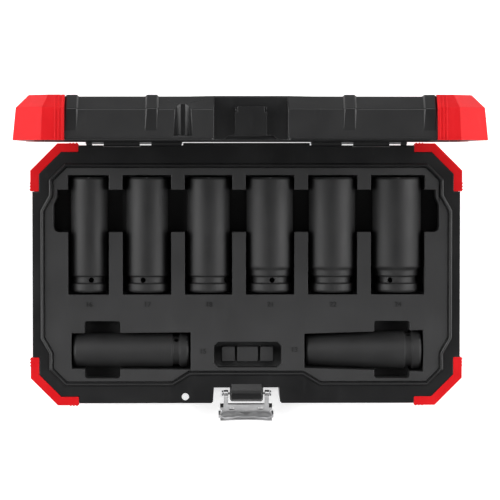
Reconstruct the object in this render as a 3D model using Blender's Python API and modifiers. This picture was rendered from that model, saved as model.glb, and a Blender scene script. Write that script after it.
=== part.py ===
"""Deep impact socket set in a hinged plastic case, lid open. Sizes in millimetres, scene in metres."""

import math

import bmesh
import bpy
from mathutils import Matrix, Vector

MM = 0.001

# Case: what lies around the sockets' pockets, out to the rim flange
SIDE_MARGIN = 24.6
BACK_MARGIN = 20.7
FRONT_MARGIN = 22.0
CORNER_CUT = 18.0
BASE_HEIGHT = 34.0
LID_HEIGHT = 27.5
WALL = 2.4
FLANGE = 3.0
FLANGE_LIP = 1.0
BASE_LIP = 3.0
LID_LIP = 1.6
DRAFT = 0.12
EDGE_CUT = 8.0
RIM_GAP = 0.3

# Seal bead on the base rim, measured in from the case's edge
BEAD_WIDTH = 2.2
BEAD_LEDGE = 0.4
BEAD_HEIGHT = 1.4
BEAD_CLEAR = 0.8
BEAD_SIDE = 6.6
BEAD_SHOULDER = 12.6
BEAD_FRONT = 13.2
BEAD_BACK = 13.7
BEAD_CORNER = 10.5
SHOULDER_LENGTH = 34.8
SHOULDER_SLANT = 10.8
BAY_HALF = 39.4
BAY_SLANT = 12.0
BAY_GAP = 9.6

# Corner bumpers
BUMPER_ARM = 32.0
BUMPER_PROUD = 1.4
BUMPER_BAND = 6.0
BUMPER_LIP = 1.5
BUMPER_CAP = 5.0
BUMPER_CLEAR = 0.15
SEAT_ROOM = 0.3
BUMPER_RISE = 1.1
RIDGE_HEIGHT = 0.5
RIDGE_PITCH = 2.2
RIDGES = 3

# Front recess, latch barrel and the lid's catch block
RECESS_HALF = 23.0
RECESS_DEPTH = 10.9
RECESS_WALL = 3.6
RECESS_FLARE = 1.3
BARREL_HALF = 11.6
BARREL_CHAMFER = 1.2
BARREL_RADIUS = 5.6
BARREL_DROP = 3.6
RAMP_BACK = 2.9
RAMP_TAPER = 1.5
LATCH_PIN_BACK = 6.5
LATCH_PIN_RADIUS = 0.8
LATCH_FIT = 0.1
CATCH_HALF = 10.0
CATCH_LOW = 2.0
CATCH_HIGH = 21.0
CATCH_PROUD = 3.7
CATCH_STEP = (1.4, 3.2, 1.2)
NOTCH_HEIGHT = 3.0
NOTCH_HALF = 18.5
NOTCH_SLANT = 4.5
NOTCH_BACK = 2.2

# Latch lever
ARM_WIDTH = 3.2
ARM_GAP = 1.1
SHEET = 1.3
LEVER_FACE = 1.4
LEVER_START = 13.4
LEVER_FLARE = 2.3
FLARE_BACK = 5.2
FLARE_RUN = 3.6
SLIT = (3.4, 1.8)
SLIT_HALF = 10.0
SLIT_BACK = 3.9
EYE_COLLAR = 2.5
PIN_HEAD_RADIUS = 2.1
PIN_HEAD_THICK = 1.0
PIN_HEAD_GAP = 0.3
LIP_REACH = 4.8
LIP_BOW = 1.3
LIP_CLEAR = 0.3
EAR_DEPTH = 3.2
LATCH_OPEN_DEG = 134.0

# Padlock eye
EYE_X = -42.6
EYE_BACK = 4.5
EYE_RADIUS = 2.5
CHANNEL_RADIUS = 4.7
CHANNEL_BACK = 2.1
CHANNEL_FLARE = (6.4, 4.4)
CHANNEL_FLOOR = 2.8

# Hinge
HINGE_BACK = 2.0
KNUCKLE_RADIUS = 2.9
KNUCKLE_CLEAR = 0.4
HINGE_PIN_RADIUS = 1.25
HINGE_FIT = 0.1
BASE_KNUCKLES = ((45.0, 66.0), (107.0, 111.0))
LID_KNUCKLES = ((74.0, 99.0),)
RAIL_GAP = 1.0
RAIL_PROUD = 1.7
RAIL_DROP = 0.4

# Wall ribs
RIB_PLACES = (-112.2, -62.0, 62.0, 112.2)
RIB_WIDTH = 8.4
RIB_PROUD = 1.1
RIB_START = 3.6
RIB_SINK = 0.2
RIB_RUN = 9.0

# Inlay tray
TRAY_FIT = 0.3
TRAY_DROP = 0.6
TRAY_SHEET = 2.2
CUP_WALL = 1.6
SIDE_WALL = 1.0
SEAT_FIT = 0.3
END_FIT = 1.5
DIVIDER = 9.4
LABEL_LAND = 24.9
LEFT_MARGIN = 26.8
RIGHT_MARGIN = 25.4
TROUGH_FLOOR = 12.0
TROUGH_START = 43.6
TROUGH_END = 10.2
TROUGH_ROUND = 3.2
TROUGH_LAND = 8.0
SHOULDER_LAND = 4.4
RELIEF_GAP = 3.6
FINGER_HALF = 12.4
FINGER_FRONT = 19.0
FINGER_BACK = 20.8
FINGER_WALL = 1.3
FINGER_ROUND = 2.0
CENTRE_POCKET = (47.0, 17.8)
CENTRE_SHIFT = (0.8, -2.6)
CENTRE_CORNER = 3.0
CENTRE_FLOOR = 20.0
CENTRE_GAP = 16.0
LAND_TOP = 26.0
LAND_HALF = 5.2
LANDS = ((-18.0, -9.0), (-7.2, 7.2), (9.0, 18.0))

# Sockets
SOCKET_LENGTH = 80.0
DRIVE_SQUARE = 12.9
DRIVE_DEPTH = 18.0
BORE_RADIUS = 6.2
GROOVE_DEPTH = 1.5
CROSS_HOLE_RADIUS = 1.9
CROSS_HOLE_AT = 8.6
GROOVE = (6.6, 10.8)
BAND = 5.8
TAPER_START = 11.6
SHOULDER_TOP = 17.4
END_CHAMFER = 1.0
SOCKET_SIDES = 40

# name, hex size, drive radius, body radius, room beside it in its pocket, roll of cross hole
UPPER_SOCKETS = (
    ("socket_16", 16.0, 12.7, 12.9, 1.3, 10.0),
    ("socket_17", 17.0, 14.6, 14.3, 2.3, -12.0),
    ("socket_18", 18.0, 14.9, 14.7, 1.6, 62.0),
    ("socket_21", 21.0, 15.0, 16.2, 0.7, 6.0),
    ("socket_22", 22.0, 15.0, 16.2, 1.0, 74.0),
    ("socket_24", 24.0, 15.0, 17.0, 1.7, -24.0),
)
# name, hex size, drive radius, body radius, room at the working and drive ends, finger notch shift, roll
LOWER_SOCKETS = (
    ("socket_15", 15.0, 11.8, 11.8, 0.5, 1.2, -19.9, 48.0),
    ("socket_13", 13.0, 13.4, 10.5, 1.5, 1.0, 19.6, 66.0),
)

POCKET_LENGTH = SOCKET_LENGTH + 2 * END_FIT
UPPER_HALVES = [max(entry[2], entry[3]) + entry[4] for entry in UPPER_SOCKETS]
UPPER_WIDTH = 2 * sum(UPPER_HALVES) + DIVIDER * (len(UPPER_SOCKETS) - 1)
LOWER_WIDTH = LEFT_MARGIN + RIGHT_MARGIN + 2 * POCKET_LENGTH + CENTRE_POCKET[0] + 2 * CENTRE_GAP
LOWER_HALF = max(entry[2] + entry[5] for entry in LOWER_SOCKETS)
HALF_X = max(UPPER_WIDTH / 2 + SIDE_MARGIN, LOWER_WIDTH / 2)
HALF_Y = (BACK_MARGIN + POCKET_LENGTH + LABEL_LAND + 2 * LOWER_HALF + FRONT_MARGIN) / 2
UPPER_ROW_Y = HALF_Y - BACK_MARGIN - POCKET_LENGTH / 2
LOWER_ROW_Y = -HALF_Y + FRONT_MARGIN + LOWER_HALF
LOWER_PLACES = (-HALF_X + LEFT_MARGIN + POCKET_LENGTH / 2, HALF_X - RIGHT_MARGIN - POCKET_LENGTH / 2)
SOCKET_AXIS_Z = WALL + TRAY_FIT + CUP_WALL + SEAT_FIT + max(max(entry[2:4]) for entry in UPPER_SOCKETS)
CENTRE_X = CENTRE_SHIFT[0]
CENTRE_Y = LOWER_ROW_Y + CENTRE_SHIFT[1]
RECESS_Y = -HALF_Y + RECESS_DEPTH
HINGE_Y = HALF_Y + HINGE_BACK
HINGE_Z = BASE_HEIGHT + RIM_GAP / 2
LATCH_PIN_Y = -HALF_Y + LATCH_PIN_BACK
LATCH_PIN_Z = BASE_HEIGHT - BARREL_DROP
TRAY_TOP = BASE_HEIGHT - TRAY_DROP
ZONE_X = HALF_X - BUMPER_ARM
ZONE_Y = HALF_Y - BUMPER_ARM

SHELF = {}


# Scene and materials

def clear_scene():
    for obj in list(bpy.data.objects):
        bpy.data.objects.remove(obj, do_unlink=True)


def collection(name):
    made = bpy.data.collections.new(name)
    bpy.context.scene.collection.children.link(made)
    return made


def finish(name, colour, roughness, metallic):
    made = bpy.data.materials.new(name)
    made.use_nodes = True
    shader = made.node_tree.nodes["Principled BSDF"]
    shader.inputs["Base Color"].default_value = (*colour, 1.0)
    shader.inputs["Roughness"].default_value = roughness
    shader.inputs["Metallic"].default_value = metallic
    return made


def axis_empty(name, y, z, turn):
    made = bpy.data.objects.new(name, None)
    made.empty_display_size = 0.02
    made.location = (0.0, y * MM, z * MM)
    made.rotation_euler = (math.radians(turn), 0.0, 0.0)
    SHELF["parts"].objects.link(made)
    return made


# Mesh helpers

def to_object(name, bm, material=None, parent=None, matrix=None):
    bmesh.ops.recalc_face_normals(bm, faces=bm.faces)
    mesh = bpy.data.meshes.new(name)
    bm.to_mesh(mesh)
    bm.free()
    made = bpy.data.objects.new(name, mesh)
    made.parent = parent
    if matrix is not None:
        made.matrix_world = matrix
    if material is None:
        SHELF["cutters"].objects.link(made)
        made.hide_render = True
        made.display_type = "WIRE"
    else:
        SHELF["parts"].objects.link(made)
        mesh.materials.append(SHELF[material])
    return made


def combine(target, tool, operation):
    step = target.modifiers.new(tool.name, "BOOLEAN")
    step.operation = operation
    step.solver = "EXACT"
    step.object = tool


def cut(target, tool):
    combine(target, tool, "DIFFERENCE")


def add(target, tool):
    combine(target, tool, "UNION")


def loft(rings, closed=False):
    """A skin over rings of equal count; the ends are capped unless the rings close on themselves."""
    bm = bmesh.new()
    rows = [[bm.verts.new(Vector(p) * MM) for p in ring] for ring in rings]
    pairs = list(zip(rows, rows[1:] + rows[:1])) if closed else list(zip(rows, rows[1:]))
    for low, high in pairs:
        for k in range(len(low)):
            n = (k + 1) % len(low)
            bm.faces.new((low[k], low[n], high[n], high[k]))
    if not closed:
        bm.faces.new(rows[0])
        bm.faces.new(rows[-1])
    return bm


def box(low, high):
    bm = bmesh.new()
    bmesh.ops.create_cube(bm, size=1.0)
    size = [(b - a) * MM for a, b in zip(low, high)]
    middle = [(a + b) / 2 * MM for a, b in zip(low, high)]
    bmesh.ops.scale(bm, vec=size, verts=bm.verts)
    bmesh.ops.translate(bm, vec=middle, verts=bm.verts)
    return bm


def merge(parts):
    """Several separate solids held in one mesh."""
    bm = bmesh.new()
    for part in parts:
        mesh = bpy.data.meshes.new("part")
        part.to_mesh(mesh)
        part.free()
        bm.from_mesh(mesh)
        bpy.data.meshes.remove(mesh)
    return bm


def rod(x0, x1, y, z, radius, sides=24):
    """A round bar along X."""
    bm = bmesh.new()
    bmesh.ops.create_cone(bm, cap_ends=True, segments=sides, radius1=radius * MM, radius2=radius * MM,
                          depth=(x1 - x0) * MM)
    turn = Matrix.Rotation(math.radians(90), 4, "Y")
    shift = Matrix.Translation(Vector(((x0 + x1) / 2, y, z)) * MM)
    bmesh.ops.transform(bm, matrix=shift @ turn, verts=bm.verts)
    return bm


def side_prism(profile, x0, x1):
    """A profile in Y and Z, carried straight along X."""
    bm = bmesh.new()
    face = bm.faces.new([bm.verts.new(Vector((x0, y, z)) * MM) for y, z in profile])
    grown = bmesh.ops.extrude_face_region(bm, geom=[face])
    moved = [v for v in grown["geom"] if isinstance(v, bmesh.types.BMVert)]
    bmesh.ops.translate(bm, vec=((x1 - x0) * MM, 0.0, 0.0), verts=moved)
    return bm


def front_prism(profile, y0, y1):
    """A profile in X and Z, carried straight along Y."""
    bm = bmesh.new()
    face = bm.faces.new([bm.verts.new(Vector((x, y0, z)) * MM) for x, z in profile])
    grown = bmesh.ops.extrude_face_region(bm, geom=[face])
    moved = [v for v in grown["geom"] if isinstance(v, bmesh.types.BMVert)]
    bmesh.ops.translate(bm, vec=(0.0, (y1 - y0) * MM, 0.0), verts=moved)
    return bm


# Plan outlines

def octagon(inset):
    hx, hy = HALF_X - inset, HALF_Y - inset
    c = CORNER_CUT - inset * (2 - math.sqrt(2))
    return [(hx - c, -hy), (hx, -hy + c), (hx, hy - c), (hx - c, hy),
            (-hx + c, hy), (-hx, hy - c), (-hx, -hy + c), (-hx + c, -hy)]


def moved_in(path, inset):
    """A counter-clockwise outline with every edge moved inwards."""
    out = []
    for k in range(len(path)):
        a, b, c = (Vector(path[(k + s) % len(path)]) for s in (-1, 0, 1))
        u, v = (b - a).normalized(), (c - b).normalized()
        n, m = Vector((-u.y, u.x)), Vector((-v.y, v.x))
        mitre = (n + m) / (1 + n.dot(m))
        out.append(tuple(b + mitre * inset))
    return out


def mirrored(right):
    return right + [(-x, y) for x, y in reversed(right)]


def bead_path():
    side, shoulder = HALF_X - BEAD_SIDE, HALF_X - BEAD_SHOULDER
    front, back = -HALF_Y + BEAD_FRONT, HALF_Y - BEAD_BACK
    step = HALF_Y - SHOULDER_LENGTH
    return mirrored([(BAY_HALF, RECESS_Y + BAY_GAP), (BAY_HALF + BAY_SLANT, front),
                     (shoulder - BEAD_CORNER, front), (shoulder, front + BEAD_CORNER), (shoulder, -step),
                     (side, -step + SHOULDER_SLANT), (side, step - SHOULDER_SLANT), (shoulder, step),
                     (shoulder, back - BEAD_CORNER), (shoulder - BEAD_CORNER, back)])


def upper_places():
    """Where the upper sockets lie along X, each pocket one divider from the next."""
    left = -UPPER_WIDTH / 2
    places = []
    for half in UPPER_HALVES:
        places.append(left + half)
        left += 2 * half + DIVIDER
    return places


def ridged(outline):
    """The case outline with small upright ridges near the ends of the corner bumpers."""
    out = []
    for k, (x, y) in enumerate(outline):
        out.append((x, y))
        nx, ny = outline[(k + 1) % len(outline)]
        if abs(x - nx) > 0.001 and abs(y - ny) > 0.001:
            continue
        along = Vector((nx - x, ny - y)).normalized()
        outwards = Vector((along.y, -along.x))
        start = ZONE_X if abs(along.x) > 0.5 else ZONE_Y
        steps = [start + 1.3 + RIDGE_PITCH * n for n in range(RIDGES)]
        for place in [-s for s in reversed(steps)] + steps:
            centre = Vector((x, y)) - along * along.dot(Vector((x, y))) + along * place
            for shift, rise in ((-0.6, 0.0), (-0.3, 1.0), (0.3, 1.0), (0.6, 0.0)):
                out.append(tuple(centre + along * shift + outwards * rise * RIDGE_HEIGHT))
    return out


# Shells: the base and the lid share one section, drawn from the rim outwards

def shell_space(kind):
    if kind == "base":
        return {"name": kind, "rim": BASE_HEIGHT, "way": -1.0, "y": 0.0, "deep": BASE_HEIGHT, "lip": BASE_LIP,
                "parent": None}
    return {"name": kind, "rim": RIM_GAP / 2, "way": 1.0, "y": HINGE_Y, "deep": LID_HEIGHT, "lip": LID_LIP,
            "parent": SHELF["lid_axis"]}


def in_shell(space, x, y, d):
    return (x, y - space["y"], space["rim"] + space["way"] * d)


def shell_loft(space, rings):
    return loft([[in_shell(space, x, y, d) for x, y in outline] for d, outline in rings])


def shell_box(space, low, high):
    a, b = in_shell(space, *low), in_shell(space, *high)
    return box([min(p) for p in zip(a, b)], [max(p) for p in zip(a, b)])


def shell_rod(space, x0, x1, radius):
    """A round bar on the hinge axis."""
    y, z = (HINGE_Y, HINGE_Z) if space["name"] == "base" else (0.0, 0.0)
    return rod(x0, x1, y, z, radius)


def section(space, proud):
    """Depth and inset of the outer wall, moved outwards by a distance."""
    deep = space["deep"]
    lean = FLANGE_LIP + DRAFT * (deep - EDGE_CUT - FLANGE)
    corner = proud * math.tan(math.radians(22.5))
    return [(deep - EDGE_CUT + corner, lean - proud), (deep + proud, lean + EDGE_CUT - corner)]


def corner_boxes(space, grow):
    low, high = -2.0, space["deep"] + 6.0
    parts = []
    for sx in (-1, 1):
        for sy in (-1, 1):
            a = (sx * (ZONE_X - grow), sy * (ZONE_Y - grow), low)
            b = (sx * (HALF_X + 20), sy * (HALF_Y + 20), high)
            parts.append(shell_box(space, a, b))
    return parts


def cavity(space):
    name, deep, parent = space["name"], space["deep"], space["parent"]
    lean = FLANGE_LIP + DRAFT * (deep - EDGE_CUT - FLANGE)
    corner = WALL * math.tan(math.radians(22.5))
    rings = [(FLANGE, octagon(FLANGE_LIP + WALL)), (deep - EDGE_CUT - corner, octagon(lean + WALL)),
             (deep - WALL, octagon(lean + EDGE_CUT + corner))]
    room = to_object(name + "_cavity", shell_loft(space, rings), parent=parent)
    wall_y = RECESS_Y + RECESS_WALL
    half = RECESS_HALF + RECESS_WALL
    bay = shell_box(space, (-half, -HALF_Y - 5, 0), (half, wall_y, deep + 5))
    cut(room, to_object(name + "_recess_wall", bay, parent=parent))
    pipe = channel_rod(space, CHANNEL_RADIUS + WALL, 0.0, deep + 5)
    cut(room, to_object(name + "_channel_wall", pipe, parent=parent))
    return room


def channel_rod(space, radius, low, high, back=CHANNEL_BACK):
    """An upright round bar at the padlock eye."""
    y = -HALF_Y + back
    rings = []
    for d in (low, high):
        turns = [math.tau * k / 20 for k in range(20)]
        rings.append((d, [(EYE_X + radius * math.cos(a), y + radius * math.sin(a)) for a in turns]))
    return shell_loft(space, rings)


def recess_outline():
    """The recess in plan: slightly wider at the front, with cut corners that run on past the case's edge."""
    h, edge, cut_back = RECESS_HALF, -HALF_Y, 1.2
    past = 2.0
    wide = h + 0.3 + (RECESS_FLARE - 0.3) * (cut_back + past) / cut_back
    return [(-h + 0.3, RECESS_Y), (-h - 0.3, edge + cut_back), (-wide, edge - past), (-wide, edge - 6),
            (wide, edge - 6), (wide, edge - past), (h + 0.3, edge + cut_back), (h - 0.3, RECESS_Y)]


def bumper_seat(space):
    """What the four corner bumpers take out of a shell's flange."""
    name, parent = space["name"], space["parent"]
    rings = [(-1.0, octagon(-4.0)), (space["lip"] + 0.4, octagon(-4.0))]
    seat = to_object(name + "_bumper_seat", shell_loft(space, rings), parent=parent)
    edge = BUMPER_BAND - BUMPER_PROUD + BUMPER_CLEAR
    lip = BUMPER_LIP + BUMPER_CLEAR
    wall = octagon(FLANGE_LIP + SEAT_ROOM)
    core = shell_loft(space, [(-1.5, octagon(edge)), (lip, octagon(edge)), (lip, wall), (FLANGE + 1.0, wall)])
    cut(seat, to_object(name + "_bumper_seat_core", core, parent=parent))
    zone = to_object(name + "_bumper_seat_zone", merge(corner_boxes(space, BUMPER_CLEAR)), parent=parent)
    combine(seat, zone, "INTERSECT")
    return seat


def knuckles(space, spans, radius, grow):
    parts = []
    for a, b in spans:
        for s in (-1, 1):
            x0, x1 = sorted((s * (a - grow), s * (b + grow)))
            parts.append((x0, x1, shell_rod(space, x0, x1, radius)))
    return parts


def add_hinge(space, shell, own, other):
    name, parent = space["name"], space["parent"]
    away = merge([p[2] for p in knuckles(space, other, KNUCKLE_RADIUS + KNUCKLE_CLEAR, KNUCKLE_CLEAR)])
    cut(shell, to_object(name + "_knuckle_room", away, parent=parent))
    webs = []
    for x0, x1, barrel in knuckles(space, own, KNUCKLE_RADIUS, 0.0):
        barrel.free()
        webs.append(shell_box(space, (x0 + 0.5, HALF_Y - 2.6, 0.4), (x1 - 0.5, HINGE_Y, FLANGE - 0.3)))
    add(shell, to_object(name + "_knuckle_webs", merge(webs), parent=parent))
    rounds = merge([p[2] for p in knuckles(space, own, KNUCKLE_RADIUS, 0.0)])
    add(shell, to_object(name + "_knuckle_rounds", rounds, parent=parent))
    bores = [p[2] for p in knuckles(space, own, HINGE_PIN_RADIUS + HINGE_FIT, 1.0)]
    cut(shell, to_object(name + "_knuckle_bores", merge(bores), parent=parent))


def add_rail(space, shell):
    """A rail along the back of the rim between the hinges, closing most of the slot under the lid."""
    half = BASE_KNUCKLES[0][0] - RAIL_GAP
    bar = shell_box(space, (-half, HALF_Y - 2.6, RAIL_DROP), (half, HALF_Y + RAIL_PROUD, FLANGE - 0.3))
    add(shell, to_object("base_rail", bar))


def rib_ring(space, side, x, proud):
    """A rib's outline at one x, from low on the wall over the edge cut, standing out by a distance."""
    deep = space["deep"]
    wall = FLANGE_LIP + DRAFT * (deep - EDGE_CUT - FLANGE)
    outer = [(FLANGE_LIP + DRAFT * (RIB_START - FLANGE) + RIB_SINK, RIB_START)]
    outer += [(inset, d) for d, inset in section(space, proud)]
    if space["name"] == "lid":
        outer += [(wall + EDGE_CUT + RIB_RUN, deep + proud), (wall + EDGE_CUT + RIB_RUN + 2.0, deep - 0.4)]
    else:
        outer[-1] = (wall + EDGE_CUT - 1.5, deep - 0.2 + min(proud, 0.0))
        outer.append((wall + EDGE_CUT - 1.2, deep - 0.6))
    inner = [(wall + EDGE_CUT + 0.4, deep - 1.2), (wall + 1.2, deep - EDGE_CUT),
             (FLANGE_LIP + 1.8, RIB_START)]
    return [in_shell(space, x, side * (HALF_Y - inset), d) for inset, d in outer + inner]


def add_ribs(space, shell):
    """Ribs whose sides slope at 45 degrees and whose height dies away towards the rim."""
    foot = RIB_WIDTH / 2 + RIB_SINK
    crown = RIB_WIDTH / 2 - RIB_PROUD
    stations = ((-foot, -RIB_SINK), (-crown, RIB_PROUD), (crown, RIB_PROUD), (foot, -RIB_SINK))
    bars = []
    for side in (-1, 1):
        for x in RIB_PLACES:
            bars.append(loft([rib_ring(space, side, x + shift, proud) for shift, proud in stations]))
    add(shell, to_object(space["name"] + "_ribs", merge(bars), parent=space["parent"]))


def build_shell(space):
    name, deep, parent = space["name"], space["deep"], space["parent"]
    wall = FLANGE_LIP + DRAFT * (deep - EDGE_CUT - FLANGE)
    lip = space["lip"]
    rings = [(0.0, octagon(0.0)), (lip, octagon(0.0)), (lip, octagon(FLANGE_LIP + DRAFT * (lip - FLANGE))),
             (deep - EDGE_CUT, octagon(wall)), (deep, octagon(wall + EDGE_CUT))]
    shell = to_object(name + "_shell", shell_loft(space, rings), material="shell_black", parent=parent)
    cut(shell, cavity(space))
    inset = BEAD_WIDTH / 2 + BEAD_LEDGE if name == "base" else -BEAD_WIDTH / 2 - BEAD_CLEAR
    mouth = moved_in(bead_path(), inset)
    opening = shell_loft(space, [(-1.0, mouth), (FLANGE + 1.0, mouth)])
    cut(shell, to_object(name + "_opening", opening, parent=parent))
    recess = shell_loft(space, [(-5.0, recess_outline()), (deep + 5.0, recess_outline())])
    cut(shell, to_object(name + "_recess", recess, parent=parent))
    channel = channel_rod(space, CHANNEL_RADIUS, CHANNEL_FLOOR, deep + 4.0)
    cut(shell, to_object(name + "_channel", channel, parent=parent))
    wide, narrow = CHANNEL_FLARE
    mouth = [(EYE_X - wide, -HALF_Y - 3.0), (EYE_X + wide, -HALF_Y - 3.0), (EYE_X + wide, -HALF_Y),
             (EYE_X + narrow, -HALF_Y + CHANNEL_BACK + 2.0), (EYE_X - narrow, -HALF_Y + CHANNEL_BACK + 2.0),
             (EYE_X - wide, -HALF_Y)]
    flare = shell_loft(space, [(CHANNEL_FLOOR, mouth), (deep - EDGE_CUT + 1.0, mouth)])
    cut(shell, to_object(name + "_channel_flare", flare, parent=parent))
    eye = channel_rod(space, EYE_RADIUS, -1.0, CHANNEL_FLOOR + 1.0, back=EYE_BACK)
    cut(shell, to_object(name + "_eye", eye, parent=parent))
    cut(shell, bumper_seat(space))
    return shell


def add_bead(space, shell):
    path = bead_path()
    half = BEAD_WIDTH / 2
    points = [(-half, -0.6), (-half, 0.6), (-half + 0.6, BEAD_HEIGHT), (half - 0.6, BEAD_HEIGHT), (half, 0.6),
              (half, -0.6)]
    rings = []
    for shift, rise in points:
        rings.append([in_shell(space, x, y, -rise) for x, y in moved_in(path, shift)])
    add(shell, to_object("base_bead", loft(rings, closed=True)))


def add_barrel(shell):
    y, z, r = LATCH_PIN_Y, LATCH_PIN_Z, BARREL_RADIUS
    profile = [(RECESS_Y + 1.8, BASE_HEIGHT - 0.6)]
    for k in range(15):
        angle = math.radians(70 + 15 * k)
        profile.append((y + r * math.cos(angle), z + r * math.sin(angle)))
    profile.append((RECESS_Y + 1.8, z - r - 1.0))
    half, cut_end = BARREL_HALF, BARREL_CHAMFER
    less = 1 - cut_end / r
    rings = []
    for x, share in ((-half, less), (-half + cut_end, 1.0), (half - cut_end, 1.0), (half, less)):
        rings.append([(x, y + (py - y) * share if py < RECESS_Y else py, z + (pz - z) * share)
                      for py, pz in profile])
    add(shell, to_object("base_barrel", loft(rings)))
    start, top = RECESS_Y + RAMP_BACK, z + r - 0.15
    narrow, wide = half - RAMP_TAPER, half - 0.3
    low = BASE_HEIGHT - 1.6
    ramp = [[(-narrow, start, low), (narrow, start, low), (narrow, start, BASE_HEIGHT - 0.15),
             (-narrow, start, BASE_HEIGHT - 0.15)],
            [(-wide, y + 1.0, low), (wide, y + 1.0, low), (wide, y + 1.0, top), (-wide, y + 1.0, top)]]
    add(shell, to_object("base_ramp", loft(ramp)))
    bore = rod(-half - 1, half + 1, y, z, LATCH_PIN_RADIUS + LATCH_FIT, sides=16)
    cut(shell, to_object("base_barrel_bore", bore))


def add_catch(space, shell):
    parent = space["parent"]
    a = (-CATCH_HALF, RECESS_Y - CATCH_PROUD, CATCH_LOW)
    b = (CATCH_HALF, RECESS_Y + 1.0, CATCH_HIGH)
    add(shell, to_object("lid_catch", shell_box(space, a, b), parent=parent))
    steps = []
    wide, tall, back = CATCH_STEP
    for s in (-1, 1):
        a = (s * (CATCH_HALF - wide), RECESS_Y - CATCH_PROUD - 1, CATCH_HIGH - tall)
        b = (s * (CATCH_HALF + 1.0), RECESS_Y - back, CATCH_HIGH + 1)
        steps.append(shell_box(space, a, b))
    cut(shell, to_object("lid_catch_steps", merge(steps), parent=parent))
    y0, z0 = in_shell(space, 0, -HALF_Y - 5, -1)[1:]
    y1, z1 = in_shell(space, 0, RECESS_Y + NOTCH_BACK, NOTCH_HEIGHT)[1:]
    narrow = NOTCH_HALF - NOTCH_SLANT
    profile = [(-NOTCH_HALF, z0), (NOTCH_HALF, z0), (narrow, z1), (-narrow, z1)]
    cut(shell, to_object("lid_notch", front_prism(profile, y0, y1), parent=parent))


def build_bumpers(space):
    """Four corner bumpers: an outer skin over the shell's section, kept to one corner each."""
    name, deep, parent = space["name"], space["deep"], space["parent"]
    thick = BUMPER_PROUD + FLANGE_LIP
    outer = [(0.0, ridged(octagon(-BUMPER_PROUD)))]
    (d1, inset1), (d2, inset2) = section(space, thick)
    top = deep + BUMPER_RISE if name == "lid" else deep - 0.4
    outer += [(d1, ridged(octagon(inset1))), (top, ridged(octagon(inset2 - (d2 - top))))]
    for sx, x_word in ((-1, "left"), (1, "right")):
        for sy, y_word in ((-1, "front"), (1, "back")):
            label = f"{name}_bumper_{y_word}_{x_word}"
            bumper = to_object(label, shell_loft(space, outer), material="bumper_red", parent=parent)
            a = (sx * ZONE_X, sy * ZONE_Y, -2.0)
            b = (sx * (HALF_X + 20), sy * (HALF_Y + 20), deep + 6.0)
            combine(bumper, to_object(label + "_zone", shell_box(space, a, b), parent=parent), "INTERSECT")
            cut(bumper, bumper_core(space, label))


def bumper_core(space, label):
    deep, parent = space["deep"], space["parent"]
    edge, fit = BUMPER_BAND - BUMPER_PROUD, BUMPER_CLEAR
    (d1, inset1), (d2, inset2) = section(space, fit)
    rings = [(-1.5, octagon(edge)), (BUMPER_LIP, octagon(edge)), (BUMPER_LIP, octagon(FLANGE_LIP - fit)),
             (FLANGE, octagon(FLANGE_LIP - fit)), (d1, octagon(inset1)), (d2, octagon(inset2))]
    if space["name"] == "lid":
        rings += [(d2, octagon(inset2 + BUMPER_CAP)), (deep + 4.0, octagon(inset2 + BUMPER_CAP))]
    return to_object(label + "_core", shell_loft(space, rings), parent=parent)


# Sockets

def lay(row_y, x, along):
    """Places a socket: its own X points up, its own Z runs from the drive end to the working end."""
    if along == "y":
        turn = Matrix.Rotation(math.radians(-90), 4, "X") @ Matrix.Rotation(math.radians(-90), 4, "Z")
        start = Vector((x, row_y - SOCKET_LENGTH / 2, SOCKET_AXIS_Z))
    else:
        turn = Matrix.Rotation(math.radians(-90), 4, "Y")
        start = Vector((x + SOCKET_LENGTH / 2, row_y, SOCKET_AXIS_Z))
    return Matrix.Translation(start * MM) @ turn


def socket_profile(drive, body):
    """Outer side from the working end down to the drive end, then the bore."""
    length = SOCKET_LENGTH
    chamfer = END_CHAMFER
    if body > drive + 0.6:
        waist = [(body, length - chamfer), (body, SHOULDER_TOP), (drive, SHOULDER_TOP - 1.8),
                 (drive, TAPER_START)]
    else:
        waist = [(body, length - chamfer), (drive, TAPER_START)]
    groove = [(drive - GROOVE_DEPTH, GROOVE[1]), (drive - GROOVE_DEPTH, GROOVE[0]), (drive, BAND)]
    end = [(drive, chamfer + 0.2), (drive - chamfer, 0.0)]
    return [(body - chamfer, length)] + waist + groove + end + [(BORE_RADIUS, 0.0), (BORE_RADIUS, length)]


def build_socket(name, size, drive, body, matrix, roll):
    bm = bmesh.new()
    verts = [bm.verts.new((r * MM, 0.0, s * MM)) for r, s in socket_profile(drive, body)]
    for k in range(len(verts)):
        bm.edges.new((verts[k], verts[(k + 1) % len(verts)]))
    mesh = bpy.data.meshes.new(name)
    bm.to_mesh(mesh)
    bm.free()
    mesh.materials.append(SHELF["socket_black"])
    socket = bpy.data.objects.new(name, mesh)
    socket.matrix_world = matrix
    SHELF["parts"].objects.link(socket)
    turn = socket.modifiers.new("Turned body", "SCREW")
    turn.steps = SOCKET_SIDES
    turn.render_steps = SOCKET_SIDES
    turn.use_merge_vertices = True
    turn.merge_threshold = 0.00001
    turn.use_normal_calculate = True
    cut(socket, to_object(name + "_hex", hex_room(size), matrix=matrix))
    cut(socket, to_object(name + "_square", square_room(), matrix=matrix))
    cut(socket, to_object(name + "_pin_hole", cross_hole(roll), matrix=matrix))
    return socket


def ring(radius, z, sides, turn=0.0):
    angles = [math.tau * k / sides + turn for k in range(sides)]
    return [(radius * math.cos(a), radius * math.sin(a), z) for a in angles]


def hex_room(size):
    wide = size / 2 / math.cos(math.pi / 6)
    return loft([ring(wide, DRIVE_DEPTH + 6.0, 6), ring(wide, SOCKET_LENGTH - 1.6, 6),
                 ring(wide + 1.6, SOCKET_LENGTH + 0.6, 6)])


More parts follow.
